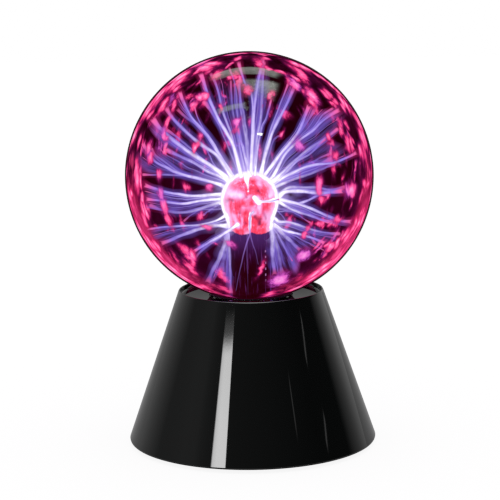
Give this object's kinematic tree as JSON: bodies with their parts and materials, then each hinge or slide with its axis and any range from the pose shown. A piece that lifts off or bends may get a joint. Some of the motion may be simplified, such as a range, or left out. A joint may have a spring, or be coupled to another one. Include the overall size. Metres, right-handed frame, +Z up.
{
  "type": "plasma ball",
  "caption": "Decorative plasma ball: a clear gas-filled glass globe with a central electrode and branching discharge, on a gloss black conical base with rear switch and power jack.",
  "frame": {"origin": "centre of the base, on the surface that the rubber feet stand on", "axes": "+Z up through the globe; front faces -Y, the rear jack and switch face +Y, +X is to the right seen from the front"},
  "size_m": [0.2018, 0.2018, 0.3181],
  "materials": {
    "globe_glass": "clear thin blown glass",
    "stem_glass": "clear blown glass",
    "electrode_glow": "conductive wire wool, lit red and pink by the discharge",
    "plasma_core": "glowing gas, white to violet",
    "plasma_end": "glowing gas, pink to red",
    "foil": "crinkled",
    "base_gloss": "high gloss black moulding",
    "black_plastic": "fine spark texture",
    "rubber": "matt",
    "silicone": "cured sealant, slightly uneven",
    "steel": "zinc plated",
    "circuit_board": "green solder mask with copper tracks",
    "ferrite": "sintered, matt",
    "bobbin": "glass-filled nylon",
    "copper": "enamelled wire",
    "potting": "wound and taped",
    "aluminium": "extruded",
    "chip": "moulded epoxy",
    "capacitor_sleeve": "shrink sleeve",
    "film_capacitor": "dipped",
    "resistor": "lacquered, colour bands",
    "trimmer_blue": "moulded",
    "white_plastic": "moulded",
    "brass": "turned",
    "wire_red": "insulation",
    "wire_black": "insulation",
    "wire_white": "insulation"
  },
  "bodies": {
    "root": {"globe_glass": "globe_glass", "stem_glass": "stem_glass", "electrode_liner": "electrode_glow", "foil_roll": "foil", "exhaust_tip": "stem_glass", "base_shell": "base_gloss", "seat_gasket": "rubber", "neck_bond": "silicone", "neck_collar": "black_plastic", "collar_screw_1": "steel", "collar_screw_2": "steel", "collar_screw_3": "steel", "base_plate": "black_plastic", "foot_rear_right": "rubber", "foot_rear_left": "rubber", "foot_front_left": "rubber", "foot_front_right": "rubber", "plate_screw_1": "steel", "plate_screw_2": "steel", "plate_screw_3": "steel", "driver_board": "circuit_board", "board_screw_1": "steel", "board_screw_2": "steel", "board_screw_3": "steel", "board_screw_4": "steel", "core_lower": "ferrite", "core_upper": "ferrite", "coil_bobbin": "bobbin", "primary_winding": "copper", "hv_winding": "potting", "heatsink": "aluminium", "power_transistor": "chip", "transistor_screw": "steel", "bulk_capacitor": "capacitor_sleeve", "filter_capacitor": "capacitor_sleeve", "film_capacitor": "film_capacitor", "control_ic": "chip", "resistor_1": "resistor", "resistor_2": "resistor", "trimmer_base": "trimmer_blue", "microphone": "aluminium", "dc_jack": "black_plastic", "dc_jack_pin": "brass", "dc_jack_nut": "steel", "mode_switch": "steel", "switch_screw_1": "steel", "switch_screw_2": "steel", "hv_lead": "wire_red", "jack_wire_1": "wire_red", "jack_wire_2": "wire_black", "switch_wire_1": "wire_white", "switch_wire_2": "trimmer_blue"},
    "switch_lever": {"mode_switch_lever": "black_plastic"},
    "trimmer": {"trimmer_rotor": "white_plastic"}
  },
  "joints": [
    {"name": "mode_slide", "type": "slide", "parent": "root", "child": "switch_lever", "axis": [1, 0, 0], "range_m": [-0.0025, 0.0025]},
    {"name": "trimmer_turn", "type": "hinge", "parent": "root", "child": "trimmer", "pos_m": [-0.0275, 0.023, 0.018], "axis": [0, 0, 1], "range_deg": [-135, 135]}
  ]
}
